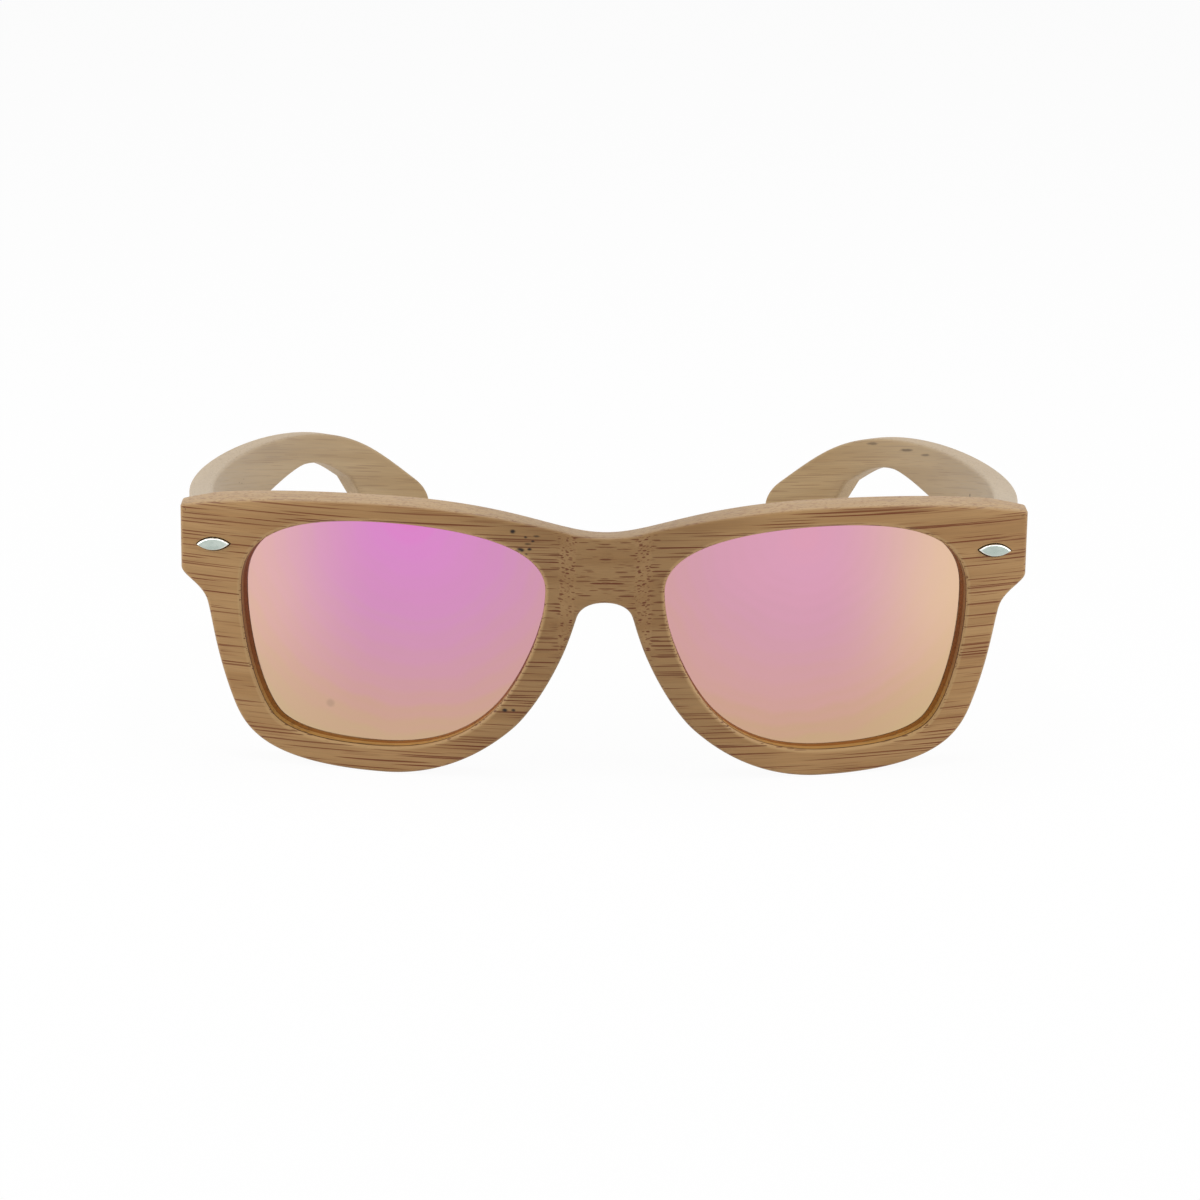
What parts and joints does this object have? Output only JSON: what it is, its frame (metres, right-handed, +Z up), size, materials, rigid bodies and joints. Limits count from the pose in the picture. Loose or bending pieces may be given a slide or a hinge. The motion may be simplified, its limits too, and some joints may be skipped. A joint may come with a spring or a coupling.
{
  "type": "sunglasses",
  "caption": "Wooden sunglasses with a bent bamboo front, rose mirrored lenses, pointed oval rivets and bowed hooked temples on sprung hinges.",
  "frame": {"origin": "under the middle of the whole, on the table that the rims and the temple tips stand on", "axes": "+X to the wearer's left, +Y to the back of the head, +Z up; the front faces -Y"},
  "size_m": [0.1454, 0.1206, 0.048],
  "materials": {
    "front_wood": "bamboo, satin oiled, with brown grain streaks along the front",
    "temple_wood": "bamboo, satin oiled, grain along the temple",
    "lens_mirror": "mirror coated, orchid pink at the brow to peach at the lower outer corner",
    "rivet_steel": "polished, domed",
    "hinge_steel": "satin",
    "screw_steel": "machined",
    "spring_steel": "drawn wire"
  },
  "bodies": {
    "front": {"front": "front_wood", "left_lens": "lens_mirror", "left_rivet": "rivet_steel", "left_front_plate": "hinge_steel", "left_plate_screws": "screw_steel", "left_pivot_screw": "screw_steel", "right_lens": "lens_mirror", "right_rivet": "rivet_steel", "right_front_plate": "hinge_steel", "right_plate_screws": "screw_steel", "right_pivot_screw": "screw_steel"},
    "left_carriage": {"left_carriage": "hinge_steel", "left_stop_collar": "hinge_steel", "left_spring": "spring_steel"},
    "left_temple": {"left_temple": "temple_wood", "left_housing": "hinge_steel", "left_housing_screws": "screw_steel"},
    "right_carriage": {"right_carriage": "hinge_steel", "right_stop_collar": "hinge_steel", "right_spring": "spring_steel"},
    "right_temple": {"right_temple": "temple_wood", "right_housing": "hinge_steel", "right_housing_screws": "screw_steel"}
  },
  "joints": [
    {"name": "left_fold", "type": "hinge", "parent": "front", "child": "left_carriage", "pos_m": [0.0675, -0.03983, 0.0368], "axis": [0, 0, 1], "range_deg": [0, 65]},
    {"name": "left_spring_slide", "type": "slide", "parent": "left_carriage", "child": "left_temple", "axis": [0, 1, 0], "range_m": [0, 0.0012], "stiffness_N_per_m": 1000, "springref_m": -0.001, "deforming": ["left_spring"]},
    {"name": "right_fold", "type": "hinge", "parent": "front", "child": "right_carriage", "pos_m": [-0.0675, -0.03983, 0.0368], "axis": [0, 0, -1], "range_deg": [0, 76]},
    {"name": "right_spring_slide", "type": "slide", "parent": "right_carriage", "child": "right_temple", "axis": [0, 1, 0], "range_m": [0, 0.0012], "stiffness_N_per_m": 1000, "springref_m": -0.001, "deforming": ["right_spring"]}
  ]
}
